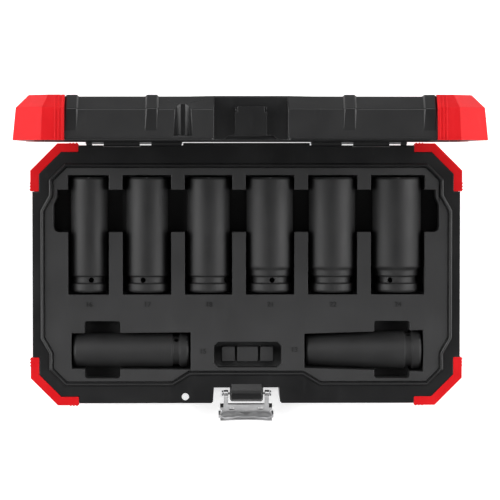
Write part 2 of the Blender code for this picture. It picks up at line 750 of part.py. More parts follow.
def square_room():
    wide = DRIVE_SQUARE / 2 * math.sqrt(2)
    turn = math.pi / 4
    return loft([ring(wide + 1.0, -0.6, 4, turn), ring(wide, 0.9, 4, turn), ring(wide, DRIVE_DEPTH, 4, turn)])


def cross_hole(roll):
    bm = bmesh.new()
    bmesh.ops.create_cone(bm, cap_ends=True, segments=16, radius1=CROSS_HOLE_RADIUS * MM,
                          radius2=CROSS_HOLE_RADIUS * MM, depth=60 * MM)
    lie = Matrix.Rotation(math.radians(90), 4, "Y")
    spin = Matrix.Rotation(math.radians(roll), 4, "Z")
    rise = Matrix.Translation((0, 0, CROSS_HOLE_AT * MM))
    bmesh.ops.transform(bm, matrix=rise @ spin @ lie, verts=bm.verts)
    return bm


# Inlay tray

def cradle_room(drive, body, wide_drive, wide_body, matrix):
    """The room over one socket: round below, straight up to the tray's top."""
    rings = []
    slope = (body - drive) / (SOCKET_LENGTH - END_CHAMFER - TAPER_START)
    for s, wide in ((-END_FIT, wide_drive), (SOCKET_LENGTH + END_FIT, wide_body)):
        radius = drive + slope * (s - TAPER_START)
        centre = wide - radius - SEAT_FIT
        top = BASE_HEIGHT - SOCKET_AXIS_Z + 4.0
        arc = [(centre - wide * math.sin(math.pi * k / 16), wide * math.cos(math.pi * k / 16), s)
               for k in range(17)]
        rings.append([(top, wide, s)] + arc + [(top, -wide, s)])
    return to_object("cradle_room", loft(rings), matrix=matrix)


def pocket_edges():
    """The upper pockets' left and right edges, and the row's front and back."""
    edges = [(x - half, x + half) for x, half in zip(upper_places(), UPPER_HALVES)]
    return edges, UPPER_ROW_Y - POCKET_LENGTH / 2, UPPER_ROW_Y + POCKET_LENGTH / 2


def lower_halves(entry):
    """Half the pocket's width at the working end and at the drive end."""
    name, size, drive, body, thin_room, wide_room, shift, roll = entry
    return body + thin_room, drive + wide_room


def tray_cups():
    edges, front, back = pocket_edges()
    w, low, high = CUP_WALL, WALL + TRAY_FIT, TRAY_TOP - 1.0
    cups = [box((edges[0][0] - w, front - w, low), (edges[-1][1] + w, back + w, high)),
            loft([[(x, y, z) for x, y in trough_outline(w)] for z in (TROUGH_FLOOR - w, high)])]
    for x, entry in zip(LOWER_PLACES, LOWER_SOCKETS):
        thin, wide = lower_halves(entry)
        half = POCKET_LENGTH / 2 + SIDE_WALL
        deep = SOCKET_AXIS_Z - max(entry[2:4]) - SEAT_FIT - w
        a, b, row = thin + SIDE_WALL, wide + SIDE_WALL, LOWER_ROW_Y
        plan = [(x - half, row - a), (x + half, row - b), (x + half, row + b), (x - half, row + a)]
        cups.append(loft([[(px, py, z) for px, py in plan] for z in (deep, high)]))
        a, b = finger_notch(x + entry[6])
        cups.append(box((a[0] - w, a[1] - FINGER_WALL, TROUGH_FLOOR - w), (b[0] + w, b[1] + w, high)))
    x, y = CENTRE_POCKET[0] / 2, CENTRE_POCKET[1] / 2
    cups.append(box((CENTRE_X - x - w, CENTRE_Y - y - w, CENTRE_FLOOR - w),
                    (CENTRE_X + x + w, CENTRE_Y + y + w, high)))
    return cups


def rounded_plan(low, high, r):
    """A rectangle in plan whose four corners are quarter circles."""
    points = []
    corners = ((high[0] - r, high[1] - r), (low[0] + r, high[1] - r), (low[0] + r, low[1] + r),
               (high[0] - r, low[1] + r))
    for k, (cx, cy) in enumerate(corners):
        for step in range(5):
            angle = math.radians(90 * k + 22.5 * step)
            points.append((cx + r * math.cos(angle), cy + r * math.sin(angle)))
    return points


def finger_notch(x):
    low = (x - FINGER_HALF, LOWER_ROW_Y - FINGER_FRONT, TROUGH_FLOOR)
    return low, (x + FINGER_HALF, LOWER_ROW_Y + FINGER_BACK, BASE_HEIGHT + 4)


def build_tray():
    outline = moved_in(bead_path(), BEAD_WIDTH / 2 + BEAD_LEDGE + TRAY_FIT)
    plate = loft([[(x, y, z) for x, y in outline] for z in (TRAY_TOP - TRAY_SHEET, TRAY_TOP)])
    tray = to_object("inlay_tray", plate, material="tray_grey")
    for k, cup in enumerate(tray_cups()):
        add(tray, to_object(f"tray_cup_{k}", cup))
    for x, half, entry in zip(upper_places(), UPPER_HALVES, UPPER_SOCKETS):
        seat = max(entry[2:4])
        cut(tray, cradle_room(seat, seat, half, half, lay(UPPER_ROW_Y, x, "y")))
    for x, entry in zip(LOWER_PLACES, LOWER_SOCKETS):
        thin, wide = lower_halves(entry)
        cut(tray, cradle_room(entry[2], entry[3], wide, thin, lay(LOWER_ROW_Y, x, "x")))
        low, high = finger_notch(x + entry[6])
        rings = [[(px, py, z) for px, py in rounded_plan(low, high, FINGER_ROUND)] for z in (low[2], high[2])]
        cut(tray, to_object("finger_notch", loft(rings)))
    cut_trough(tray)
    cut_relief(tray)
    add_centre_pocket(tray)
    return tray


def trough_outline(grow):
    """The finger trough across the upper row; its ends step in with the rim and round off at the front."""
    edges, front, back = pocket_edges()
    wide = HALF_X - BEAD_SIDE - TROUGH_LAND + grow
    narrow = HALF_X - BEAD_SHOULDER - SHOULDER_LAND + grow
    low, high = front + TROUGH_START - grow, back - TROUGH_END + grow
    step, r = HALF_Y - SHOULDER_LENGTH, TROUGH_ROUND
    return mirrored([(wide - r, low), (wide - r * 0.3, low + r * 0.3), (wide, low + r), (wide, step - 6.5),
                     (narrow, step - 1.1), (narrow, high)])


def cut_trough(tray):
    outline = trough_outline(0.0)
    room = loft([[(x, y, z) for x, y in outline] for z in (TROUGH_FLOOR, BASE_HEIGHT + 4)])
    cut(tray, to_object("finger_trough", room))


def cut_relief(tray):
    """Hollows under the dividers between the upper sockets, open below."""
    edges, front, back = pocket_edges()
    slots = []
    for left, right in zip(edges, edges[1:]):
        low = (left[1] + CUP_WALL, front + 0.4, WALL - 1.0)
        high = (right[0] - CUP_WALL, front + TROUGH_START - RELIEF_GAP, TRAY_TOP - TRAY_SHEET)
        slots.append(box(low, high))
    cut(tray, to_object("divider_relief", merge(slots)))


def add_centre_pocket(tray):
    x, y, c = CENTRE_POCKET[0] / 2, CENTRE_POCKET[1] / 2, CENTRE_CORNER
    corners = [(x - c, -y), (x, -y + c), (x, y - c), (x - c, y), (-x + c, y), (-x, y - c), (-x, -y + c),
               (-x + c, -y)]
    plan = [(CENTRE_X + px, CENTRE_Y + py) for px, py in corners]
    room = loft([[(px, py, z) for px, py in plan] for z in (CENTRE_FLOOR, BASE_HEIGHT + 4)])
    cut(tray, to_object("centre_pocket", room))
    lands = []
    for x0, x1 in LANDS:
        lands.append(box((CENTRE_X + x0, CENTRE_Y - LAND_HALF, CENTRE_FLOOR - 0.6),
                         (CENTRE_X + x1, CENTRE_Y + LAND_HALF, LAND_TOP)))
    add(tray, to_object("centre_lands", merge(lands)))


# Latch lever, drawn standing up over its pin, turned open by its parent

def lip_height(x, half):
    block_top = BASE_HEIGHT + RIM_GAP + CATCH_HIGH - LATCH_PIN_Z
    return block_top + LIP_CLEAR + LIP_BOW * (x / half) ** 2


def build_lever():
    inner = BARREL_HALF + ARM_GAP
    outer = inner + ARM_WIDTH
    half = outer + LEVER_FLARE
    steps = [half * (k / 6 - 1) for k in range(13)]
    foot = lip_height(0.0, half) - FLARE_BACK
    knee = foot + FLARE_RUN
    outline = [(-outer, 0.0), (-inner, 0.0), (-inner, LEVER_START), (inner, LEVER_START), (inner, 0.0),
               (outer, 0.0), (outer, foot), (half, knee)]
    outline += [(x, lip_height(x, half) + 0.6) for x in reversed(steps)] + [(-half, knee), (-outer, foot)]
    face = -LEVER_FACE
    lever = to_object("latch_lever", front_prism(outline, face - SHEET, face), material="latch_zinc",
                      parent=SHELF["latch_axis"])
    add(lever, latch_tool("lever_lip", lever_lip(steps, half, face)))
    add(lever, latch_tool("lever_ears", lever_ears(outer, half, face)))
    eyes = [rod(x0, x0 + ARM_WIDTH, 0, 0, EYE_COLLAR, 20) for x0 in (-outer, inner)]
    add(lever, latch_tool("lever_eyes", merge(eyes)))
    bore = rod(-outer - 1, outer + 1, 0, 0, LATCH_PIN_RADIUS + LATCH_FIT, 16)
    cut(lever, latch_tool("lever_bore", bore))
    x, low = SLIT[0] / 2, LEVER_START + SLIT_BACK
    high = low + SLIT[1]
    slits = [box((mid - x, face - 3, low), (mid + x, face + 2, high)) for mid in (-SLIT_HALF, SLIT_HALF)]
    cut(lever, latch_tool("lever_slits", merge(slits)))
    return lever


def latch_tool(name, bm):
    return to_object(name, bm, parent=SHELF["latch_axis"])


def lever_lip(steps, half, face):
    rings = []
    for x in steps:
        z = lip_height(x, half)
        out, back = face - SHEET, face - SHEET + LIP_REACH
        rings.append([(x, out, z - 0.6), (x, out, z + 0.5), (x, out + 0.8, z + SHEET),
                      (x, back - 0.3, z + SHEET), (x, back, z + SHEET - 0.3), (x, back, z),
                      (x, out + 1.0, z), (x, out + 0.9, z - 0.6)])
    return loft(rings)


def lever_ears(outer, half, face):
    """Folded side flanges: a hooked one beside the plate and a plain one beside the lip."""
    top = lip_height(half, half)
    low, bend, end = LEVER_START + 3.8, LEVER_START + 6.2, top - 4.0
    hook = [(outer - 0.5, low), (outer + 2.4, low), (outer + 2.4, bend), (outer + 1.3, bend + 0.6),
            (outer + 1.3, end), (outer - 0.5, end)]
    tab = [(half - 0.4, top - 1.6), (half + 1.2, top - 1.6), (half + 1.2, top + SHEET + 0.6),
           (half - 0.4, top + SHEET + 0.6)]
    parts = []
    for s in (-1, 1):
        for outline in (hook, tab):
            profile = [(s * x, z) for x, z in outline]
            parts.append(front_prism(profile, face - SHEET - EAR_DEPTH, face - 0.3))
    return merge(parts)


def build_pins():
    outer = BARREL_HALF + ARM_GAP + ARM_WIDTH
    inner_face = outer + PIN_HEAD_GAP
    end = inner_face + PIN_HEAD_THICK / 2
    pin = to_object("latch_pin", rod(-end, end, LATCH_PIN_Y, LATCH_PIN_Z, LATCH_PIN_RADIUS, 16),
                    material="pin_steel")
    heads = []
    for s in (-1, 1):
        x0, x1 = sorted((s * inner_face, s * (inner_face + PIN_HEAD_THICK)))
        heads.append(rod(x0, x1, LATCH_PIN_Y, LATCH_PIN_Z, PIN_HEAD_RADIUS, 16))
    add(pin, to_object("latch_pin_heads", merge(heads)))
    a, b = BASE_KNUCKLES[0][0] - 0.6, BASE_KNUCKLES[-1][1] + 0.6
    for s, word in ((-1, "left"), (1, "right")):
        x0, x1 = sorted((s * a, s * b))
        bar = rod(x0, x1, HINGE_Y, HINGE_Z, HINGE_PIN_RADIUS, 20)
        to_object("hinge_pin_" + word, bar, material="pin_steel")


def main():
    clear_scene()
    SHELF["parts"] = collection("socket_case")
    SHELF["cutters"] = collection("cutters")
    SHELF["cutters"].hide_render = True
    SHELF["shell_black"] = finish("shell_black", (0.03, 0.03, 0.031), 0.5, 0.0)
    SHELF["bumper_red"] = finish("bumper_red", (0.75, 0.03, 0.035), 0.45, 0.0)
    SHELF["tray_grey"] = finish("tray_grey", (0.045, 0.045, 0.046), 0.6, 0.0)
    SHELF["socket_black"] = finish("socket_black", (0.02, 0.02, 0.021), 0.42, 0.6)
    SHELF["latch_zinc"] = finish("latch_zinc", (0.62, 0.62, 0.62), 0.32, 1.0)
    SHELF["pin_steel"] = finish("pin_steel", (0.5, 0.5, 0.5), 0.35, 1.0)
    SHELF["lid_axis"] = axis_empty("lid_axis", HINGE_Y, HINGE_Z, -90.0)
    SHELF["latch_axis"] = axis_empty("latch_axis", LATCH_PIN_Y, LATCH_PIN_Z, LATCH_OPEN_DEG)
    base, lid = shell_space("base"), shell_space("lid")
    base_shell = build_shell(base)
    add_bead(base, base_shell)
    add_barrel(base_shell)
    add_hinge(base, base_shell, BASE_KNUCKLES, LID_KNUCKLES)
    add_rail(base, base_shell)
    add_ribs(base, base_shell)
    lid_shell = build_shell(lid)
    add_catch(lid, lid_shell)
    add_hinge(lid, lid_shell, LID_KNUCKLES, BASE_KNUCKLES)
    add_ribs(lid, lid_shell)
    build_bumpers(base)
    build_bumpers(lid)
    build_tray()
    for x, entry in zip(upper_places(), UPPER_SOCKETS):
        build_socket(*entry[:4], lay(UPPER_ROW_Y, x, "y"), entry[-1])
    for x, entry in zip(LOWER_PLACES, LOWER_SOCKETS):
        build_socket(*entry[:4], lay(LOWER_ROW_Y, x, "x"), entry[-1])
    build_lever()
    build_pins()


main()
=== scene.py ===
import math
import bmesh
import bpy
import numpy as np
from mathutils import Matrix, Vector


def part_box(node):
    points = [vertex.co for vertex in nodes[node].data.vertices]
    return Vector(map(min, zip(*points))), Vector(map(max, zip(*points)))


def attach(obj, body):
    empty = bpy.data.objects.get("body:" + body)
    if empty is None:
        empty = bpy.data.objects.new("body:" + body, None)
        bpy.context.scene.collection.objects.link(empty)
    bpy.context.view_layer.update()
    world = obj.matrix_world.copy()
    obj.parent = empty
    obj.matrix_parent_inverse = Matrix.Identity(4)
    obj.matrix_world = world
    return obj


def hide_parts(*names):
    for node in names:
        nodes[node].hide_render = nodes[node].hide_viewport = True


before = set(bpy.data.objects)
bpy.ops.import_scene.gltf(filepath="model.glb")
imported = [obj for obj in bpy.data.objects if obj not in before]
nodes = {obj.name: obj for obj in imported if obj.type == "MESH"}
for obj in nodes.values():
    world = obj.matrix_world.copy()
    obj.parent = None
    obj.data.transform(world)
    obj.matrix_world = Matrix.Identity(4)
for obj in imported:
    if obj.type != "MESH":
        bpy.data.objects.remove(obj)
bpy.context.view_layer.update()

mm = 0.001
print("stage: frame loaded,", len(nodes), "nodes")


# materials: every pattern is on Object coordinates in metres, so its scale is in waves per metre

def addNode(tree, kind, **settings):
    # a shader node whose sockets or properties take the given values
    made = tree.nodes.new(kind)
    for key, value in settings.items():
        if key in made.inputs:
            made.inputs[key].default_value = value
        else:
            setattr(made, key, value)
    return made


def noiseOn(tree, place, scale, detail=3.0, rough=0.5, stretch=(1, 1, 1)):
    # noise at a scale per metre; stretch divides the pattern along an axis
    mapping = addNode(tree, "ShaderNodeMapping")
    mapping.inputs["Scale"].default_value = stretch
    tree.links.new(place.outputs["Object"], mapping.inputs["Vector"])
    noise = addNode(tree, "ShaderNodeTexNoise")
    noise.inputs["Scale"].default_value = scale
    noise.inputs["Detail"].default_value = detail
    noise.inputs["Roughness"].default_value = rough
    tree.links.new(mapping.outputs["Vector"], noise.inputs["Vector"])
    return noise.outputs["Fac"]


def spread(tree, value, low, high, fromLow=0.3, fromHigh=0.7):
    # carries a 0..1 pattern onto the range low..high
    node = addNode(tree, "ShaderNodeMapRange")
    node.inputs["From Min"].default_value = fromLow
    node.inputs["From Max"].default_value = fromHigh
    node.inputs["To Min"].default_value = low
    node.inputs["To Max"].default_value = high
    tree.links.new(value, node.inputs["Value"])
    return node.outputs["Result"]


def mixColours(tree, factor, first, second):
    # first x (1 - factor) + second x factor; either colour is a fixed one or a pattern
    node = addNode(tree, "ShaderNodeMix", data_type="RGBA")
    for socket, value in ((node.inputs[6], first), (node.inputs[7], second)):
        if isinstance(value, tuple):
            socket.default_value = (*value, 1.0)
        else:
            tree.links.new(value, socket)
    if isinstance(factor, float):
        node.inputs[0].default_value = factor
    else:
        tree.links.new(factor, node.inputs[0])
    return node.outputs[2]


def bumpFrom(tree, height, distance, before=None):
    # a pattern raised by a distance in metres, laid over an earlier bump if there is one
    node = addNode(tree, "ShaderNodeBump")
    node.inputs["Strength"].default_value = 1.0
    node.inputs["Distance"].default_value = distance
    tree.links.new(height, node.inputs["Height"])
    if before is not None:
        tree.links.new(before, node.inputs["Normal"])
    return node.outputs["Normal"]


def edgeWear(tree, low, high):
    # 0 on flats, 1 along convex edges
    geometry = addNode(tree, "ShaderNodeNewGeometry")
    return spread(tree, geometry.outputs["Pointiness"], 0.0, 1.0, low, high)


def newMaterial(name):
    # a material with its node tree, its shader and a Texture Coordinate node
    made = bpy.data.materials.new(name)
    made.use_nodes = True
    tree = made.node_tree
    shader = tree.nodes["Principled BSDF"]
    return made, tree, shader, addNode(tree, "ShaderNodeTexCoord")


def mouldedPlastic(name, look):
    # satin moulded plastic: fine spark texture, slow cloudiness and faint lighter scuffs
    made, tree, shader, place = newMaterial(name)
    cloud = noiseOn(tree, place, look["cloudScale"], 4.0)
    scuff = noiseOn(tree, place, look["scuffScale"], 6.0, 0.7, (1.0, 0.25, 1.0))
    spark = noiseOn(tree, place, look["grainScale"], 2.0, 0.6)
    colour = mixColours(tree, spread(tree, cloud, 0.0, 1.0), look["dark"], look["light"])
    rubbed = mixColours(tree, spread(tree, scuff, 0.0, look["scuff"], 0.56, 0.76), colour, look["worn"])
    tree.links.new(rubbed, shader.inputs["Base Color"])
    tree.links.new(spread(tree, cloud, look["gloss"][0], look["gloss"][1]), shader.inputs["Roughness"])
    fine = bumpFrom(tree, spark, look["grainDepth"])
    tree.links.new(bumpFrom(tree, cloud, look["waveDepth"], fine), shader.inputs["Normal"])
    shader.inputs["IOR"].default_value = look["ior"]
    shader.inputs["Specular IOR Level"].default_value = look["shine"]
    return made


casePlastic = {"dark": (0.0085, 0.0085, 0.009), "light": (0.0125, 0.0125, 0.013),
               "worn": (0.035, 0.035, 0.036), "cloudScale": 38.0, "scuffScale": 130.0,
               "grainScale": 2600.0, "scuff": 0.25, "gloss": (0.32, 0.42),
               "grainDepth": 0.00004, "waveDepth": 0.00006, "ior": 1.5, "shine": 0.4}
inlayPlastic = {"dark": (0.031, 0.031, 0.0315), "light": (0.039, 0.039, 0.04), "worn": (0.06, 0.06, 0.061),
                "cloudScale": 30.0, "scuffScale": 90.0, "grainScale": 2200.0, "scuff": 0.2,
                "gloss": (0.5, 0.6), "grainDepth": 0.00005, "waveDepth": 0.0001, "ior": 1.48, "shine": 0.4}
bumperRubber = {"dark": (0.66, 0.006, 0.010), "light": (0.74, 0.011, 0.015), "worn": (0.78, 0.035, 0.04),
                "cloudScale": 45.0, "scuffScale": 160.0, "grainScale": 2400.0, "scuff": 0.3,
                "gloss": (0.46, 0.56), "grainDepth": 0.00004, "waveDepth": 0.00008, "ior": 1.45,
                "shine": 0.15}


def phosphateSteel(name, look):
    # black phosphated steel: fine lathe rings round the axis, oily cloudiness, brighter worn edges
    made, tree, shader, place = newMaterial(name)
    rings = noiseOn(tree, place, look["ringScale"], 2.0, 0.6, look["stretch"])
    cloud = noiseOn(tree, place, look["cloudScale"], 4.0)
    speck = noiseOn(tree, place, look["speckScale"], 2.0, 0.7)
    colour = mixColours(tree, spread(tree, cloud, 0.0, 1.0), look["dark"], look["light"])
    worn = mixColours(tree, edgeWear(tree, 0.54, 0.66), colour, look["worn"])
    tree.links.new(worn, shader.inputs["Base Color"])
    tree.links.new(spread(tree, cloud, *look["gloss"]), shader.inputs["Roughness"])
    shader.inputs["Metallic"].default_value = look["metal"]
    fine = bumpFrom(tree, speck, look["speckDepth"])
    tree.links.new(bumpFrom(tree, rings, look["ringDepth"], fine), shader.inputs["Normal"])
    return made


socketFinish = {"dark": (0.02, 0.02, 0.0205), "light": (0.03, 0.03, 0.0305), "worn": (0.09, 0.09, 0.092),
                "ringScale": 60.0, "cloudScale": 55.0, "speckScale": 3000.0, "gloss": (0.52, 0.62),
                "metal": 0.2, "speckDepth": 0.00003, "ringDepth": 0.00004}


def platedSteel(name, look):
    # zinc plate or drawn wire: brushed streaks, soft spangle, slightly uneven gloss
    made, tree, shader, place = newMaterial(name)
    streak = noiseOn(tree, place, look["streakScale"], 3.0, 0.6, look["stretch"])
    cloud = noiseOn(tree, place, look["cloudScale"], 3.0)
    colour = mixColours(tree, spread(tree, cloud, 0.0, 1.0), look["dark"], look["light"])
    tree.links.new(colour, shader.inputs["Base Color"])
    tree.links.new(spread(tree, streak, *look["gloss"]), shader.inputs["Roughness"])
    shader.inputs["Metallic"].default_value = 1.0
    tree.links.new(bumpFrom(tree, streak, look["streakDepth"]), shader.inputs["Normal"])
    return made


zincPlate = {"dark": (0.50, 0.50, 0.51), "light": (0.60, 0.60, 0.605), "streakScale": 500.0,
             "stretch": (4.0, 0.4, 0.4), "cloudScale": 120.0, "gloss": (0.34, 0.5), "streakDepth": 0.00002}
drawnWire = {"dark": (0.42, 0.42, 0.43), "light": (0.55, 0.55, 0.56), "streakScale": 600.0,
             "stretch": (0.2, 3.0, 3.0), "cloudScale": 200.0, "gloss": (0.25, 0.38), "streakDepth": 0.00001}

caseBlack = mouldedPlastic("caseBlack", casePlastic)
inlayGrey = mouldedPlastic("inlayGrey", inlayPlastic)
bumperRed = mouldedPlastic("bumperRed", bumperRubber)
# the numerals: a darker copy of the inlay plastic, painted shade standing in for the shade of moulded
# numerals
numberPaintedShade = mouldedPlastic("numberPaintedShade", {**inlayPlastic, "dark": (0.012, 0.012, 0.0122),
                                          "light": (0.016, 0.016, 0.0163), "scuff": 0.1})
zinc = platedSteel("zincPlate", zincPlate)
wire = platedSteel("drawnWire", drawnWire)
socketAlongY = phosphateSteel("socketBlackUpper", {**socketFinish, "stretch": (0.3, 40.0, 0.3)})
socketAlongX = phosphateSteel("socketBlackLower", {**socketFinish, "stretch": (40.0, 0.3, 0.3)})
print("stage: materials made")


# helpers that put computed surfaces and merged CAD copies into pieces

def newPiece(name, points, faces, material, body):
    # points (n, 3) in metres and faces (m, k) of point numbers, put straight into a mesh
    mesh = bpy.data.meshes.new(name)
    mesh.vertices.add(len(points))
    mesh.vertices.foreach_set("co", np.asarray(points, np.float32).ravel())
    count, sides = faces.shape
    mesh.loops.add(count * sides)
    mesh.loops.foreach_set("vertex_index", faces.astype(np.int32).ravel())
    mesh.polygons.add(count)
    mesh.polygons.foreach_set("loop_start", np.arange(0, count * sides, sides, dtype=np.int32))
    mesh.update(calc_edges=True)
    mesh.validate()
    return settle(name, mesh, material, body)


def settle(name, mesh, material, body):
    # an object at the origin that rides on a body
    mesh.materials.clear()
    mesh.materials.append(material)
    piece = bpy.data.objects.new(name, mesh)
    bpy.context.scene.collection.objects.link(piece)
    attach(piece, body)
    return piece


def smoothBy(mesh, degrees):
    # smooth shading with hard edges where faces meet at more than the angle
    mesh.polygons.foreach_set("use_smooth", np.ones(len(mesh.polygons), dtype=bool))
    mesh.set_sharp_from_angle(angle=math.radians(degrees))


copying = {"merge": 0.002 * mm, "flat": 0.6}


def softened(name, node, material, body, look):
    # a merged copy of a CAD node whose sharp edges are rounded; short edges get a smaller radius:
    # weight = shortest edge at either end / (room x radius), at most 1; hollow edges only where asked
    bm = bmesh.new()
    bm.from_mesh(nodes[node].data)
    bmesh.ops.remove_doubles(bm, verts=bm.verts, dist=copying["merge"])
    bmesh.ops.dissolve_limit(bm, angle_limit=math.radians(copying["flat"]), verts=bm.verts, edges=bm.edges)
    bmesh.ops.triangulate(bm, faces=bm.faces, quad_method="BEAUTY", ngon_method="BEAUTY")
    mesh = bpy.data.meshes.new(name)
    bm.to_mesh(mesh)
    sharp = np.array([e.is_manifold and e.calc_face_angle(0.0) > math.radians(look["angle"])
                      and (e.is_convex or look["hollows"]) for e in bm.edges])
    bm.free()
    ends = np.empty(len(mesh.edges) * 2, np.int32)
    mesh.edges.foreach_get("vertices", ends)
    ends = ends.reshape(-1, 2)
    spots = np.empty(len(mesh.vertices) * 3, np.float32)
    mesh.vertices.foreach_get("co", spots)
    spots = spots.reshape(-1, 3)
    length = np.linalg.norm(spots[ends[:, 0]] - spots[ends[:, 1]], axis=1)
    shortest = np.full(len(spots), 1.0)
    np.minimum.at(shortest, ends[:, 0], length)
    np.minimum.at(shortest, ends[:, 1], length)
    room = np.minimum(shortest[ends[:, 0]], shortest[ends[:, 1]])
    weight = np.clip(room / (look["room"] * look["radius"]), 0.0, 1.0) * sharp
    weights = mesh.attributes.new("bevel_weight_edge", "FLOAT", "EDGE")
    weights.data.foreach_set("value", weight.astype(np.float32))
    smoothBy(mesh, look["smooth"])
    piece = settle(name, mesh, material, body)
    bevel = piece.modifiers.new("Rounded edges", "BEVEL")
    bevel.limit_method = "WEIGHT"
    bevel.width = look["radius"]
    bevel.segments = look["steps"]
    bevel.use_clamp_overlap = False
    even = piece.modifiers.new("Even shading", "WEIGHTED_NORMAL")
    even.mode, even.keep_sharp = "FACE_AREA", True
    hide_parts(node)
    return piece


# case shells, inlay, bumpers, latch and pins: "angle" is the least edge that is rounded and "smooth" the
# most that is shaded as a curve, in degrees

caseEdges = {"hollows": False, "angle": 26.0, "smooth": 7.0, "radius": 0.5 * mm, "steps": 3, "room": 2.4}
bumperEdges = {"hollows": False, "angle": 24.0, "smooth": 7.0, "radius": 0.5 * mm, "steps": 3, "room": 2.4}
inlayEdges = {"hollows": True, "angle": 30.0, "smooth": 24.0, "radius": 0.5 * mm, "steps": 3, "room": 2.6}
wireEdges = {"hollows": False, "angle": 35.0, "smooth": 35.0, "radius": 0.2 * mm, "steps": 2, "room": 2.6}
leverEdges = {"hollows": False, "angle": 30.0, "smooth": 20.0, "radius": 0.25 * mm, "steps": 2, "room": 2.6}

softened("caseBase", "base_shell", caseBlack, "case", caseEdges)
softened("caseLid", "lid_shell", caseBlack, "lid", caseEdges)
softened("inlay", "inlay_tray", inlayGrey, "case", inlayEdges)
for half, body in (("base", "case"), ("lid", "lid")):
    for corner in ("front_left", "front_right", "back_left", "back_right"):
        piece = f"{half}_bumper_{corner}"
        softened(f"{half}Bumper_{corner}", piece, bumperRed, body, bumperEdges)
softened("latchPlate", "latch_lever", zinc, "latch", leverEdges)
for name, node in (("latchWire", "latch_pin"), ("hingeWireLeft", "hinge_pin_left"),
                   ("hingeWireRight", "hinge_pin_right")):
    softened(name, node, wire, "case", wireEdges)
print("stage: case, inlay and latch made")


# sockets, in millimetres: own Z is the axis, from the drive end to the working end

socketShape = {"length": 80.0, "square": 12.9, "squareDeep": 18.0, "bore": 6.2, "hexStart": 24.0,
               "groove": 1.5, "grooveSpan": (6.6, 10.8), "band": 5.8, "taperStart": 11.6,
               "shoulder": (15.6, 17.4), "endChamfer": 1.3, "driveChamfer": (1.1, 1.2), "mouthWall": 1.8,
               "hexRelief": 1.13, "squareRelief": 1.36, "hole": 1.9, "holeAt": 8.6, "holeReach": 22.0,
               "holeSides": 32, "turns": 96}
# node, hexagon, drive radius, body radius, roll of the cross hole, the way it lies
socketList = (("socket_16", 16.0, 12.7, 12.9, 10.0, "y"),
              ("socket_17", 17.0, 14.6, 14.3, -12.0, "y"),
              ("socket_18", 18.0, 14.9, 14.7, 62.0, "y"),
              ("socket_21", 21.0, 15.0, 16.2, 6.0, "y"),
              ("socket_22", 22.0, 15.0, 16.2, 74.0, "y"),
              ("socket_24", 24.0, 15.0, 17.0, -24.0, "y"),
              ("socket_15", 15.0, 11.8, 11.8, 48.0, "x"),
              ("socket_13", 13.0, 13.4, 10.5, 66.0, "x"))


def middleOf(node):
    # the middle of a CAD node's box, in millimetres
    low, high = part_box(node)
    return (low + high) / 2 / mm


def socketOutline(drive, body, shape):
    # (radius, distance from the drive end, fillet) down the outside from the working end
    end, low = shape["length"], drive - shape["groove"]
    cut = shape["endChamfer"]
    shoulderLow, shoulderTop = shape["shoulder"]
    grooveLow, grooveTop = shape["grooveSpan"]
    inset, rise = shape["driveChamfer"]
    top = [(body - cut, end, 0.4), (body, end - cut, 0.6)]
    waist = [(drive, shape["taperStart"], 0.4)]
    if body > drive + 0.6:
        waist = [(body, shoulderTop, 1.2), (drive, shoulderLow, 1.2)] + waist
    groove = [(low, grooveTop, 0.6), (low, grooveLow, 0.6), (drive, shape["band"], 0.4)]
    return top + waist + groove + [(drive, rise, 0.5), (drive - inset, 0.0, 0.4)]


def filleted(corners, steps=4):
    # each corner of an open line becomes a quadratic arc that leaves it by the fillet's length
    corners = np.array(corners, float)
    points, cuts = corners[:, :2], corners[:, 2]
    before, after = np.roll(points, 1, 0), np.roll(points, -1, 0)
    before[0], after[-1] = points[0], points[-1]
    toBefore = before - points
    toAfter = after - points
    lenB = np.maximum(np.linalg.norm(toBefore, axis=1), 1e-9)
    lenA = np.maximum(np.linalg.norm(toAfter, axis=1), 1e-9)
    cutB = np.minimum(cuts, lenB * 0.45)
    cutA = np.minimum(cuts, lenA * 0.45)
    start = points + toBefore / lenB[:, None] * cutB[:, None]
    stop = points + toAfter / lenA[:, None] * cutA[:, None]
    t = np.linspace(0, 1, steps)[None, :, None]
    arc = (1 - t) ** 2 * start[:, None] + 2 * t * (1 - t) * points[:, None] + t ** 2 * stop[:, None]
    return arc.reshape(-1, 2)


def polygonRadius(theta, sides, inside, relief, turn=0.0):
    # inner radius / cos(angle from the middle of a side), cut short at the relief times the inner radius
    step = math.tau / sides
    local = np.mod(theta - turn + step / 2, step) - step / 2
    return np.minimum(inside / np.cos(local), inside * relief)


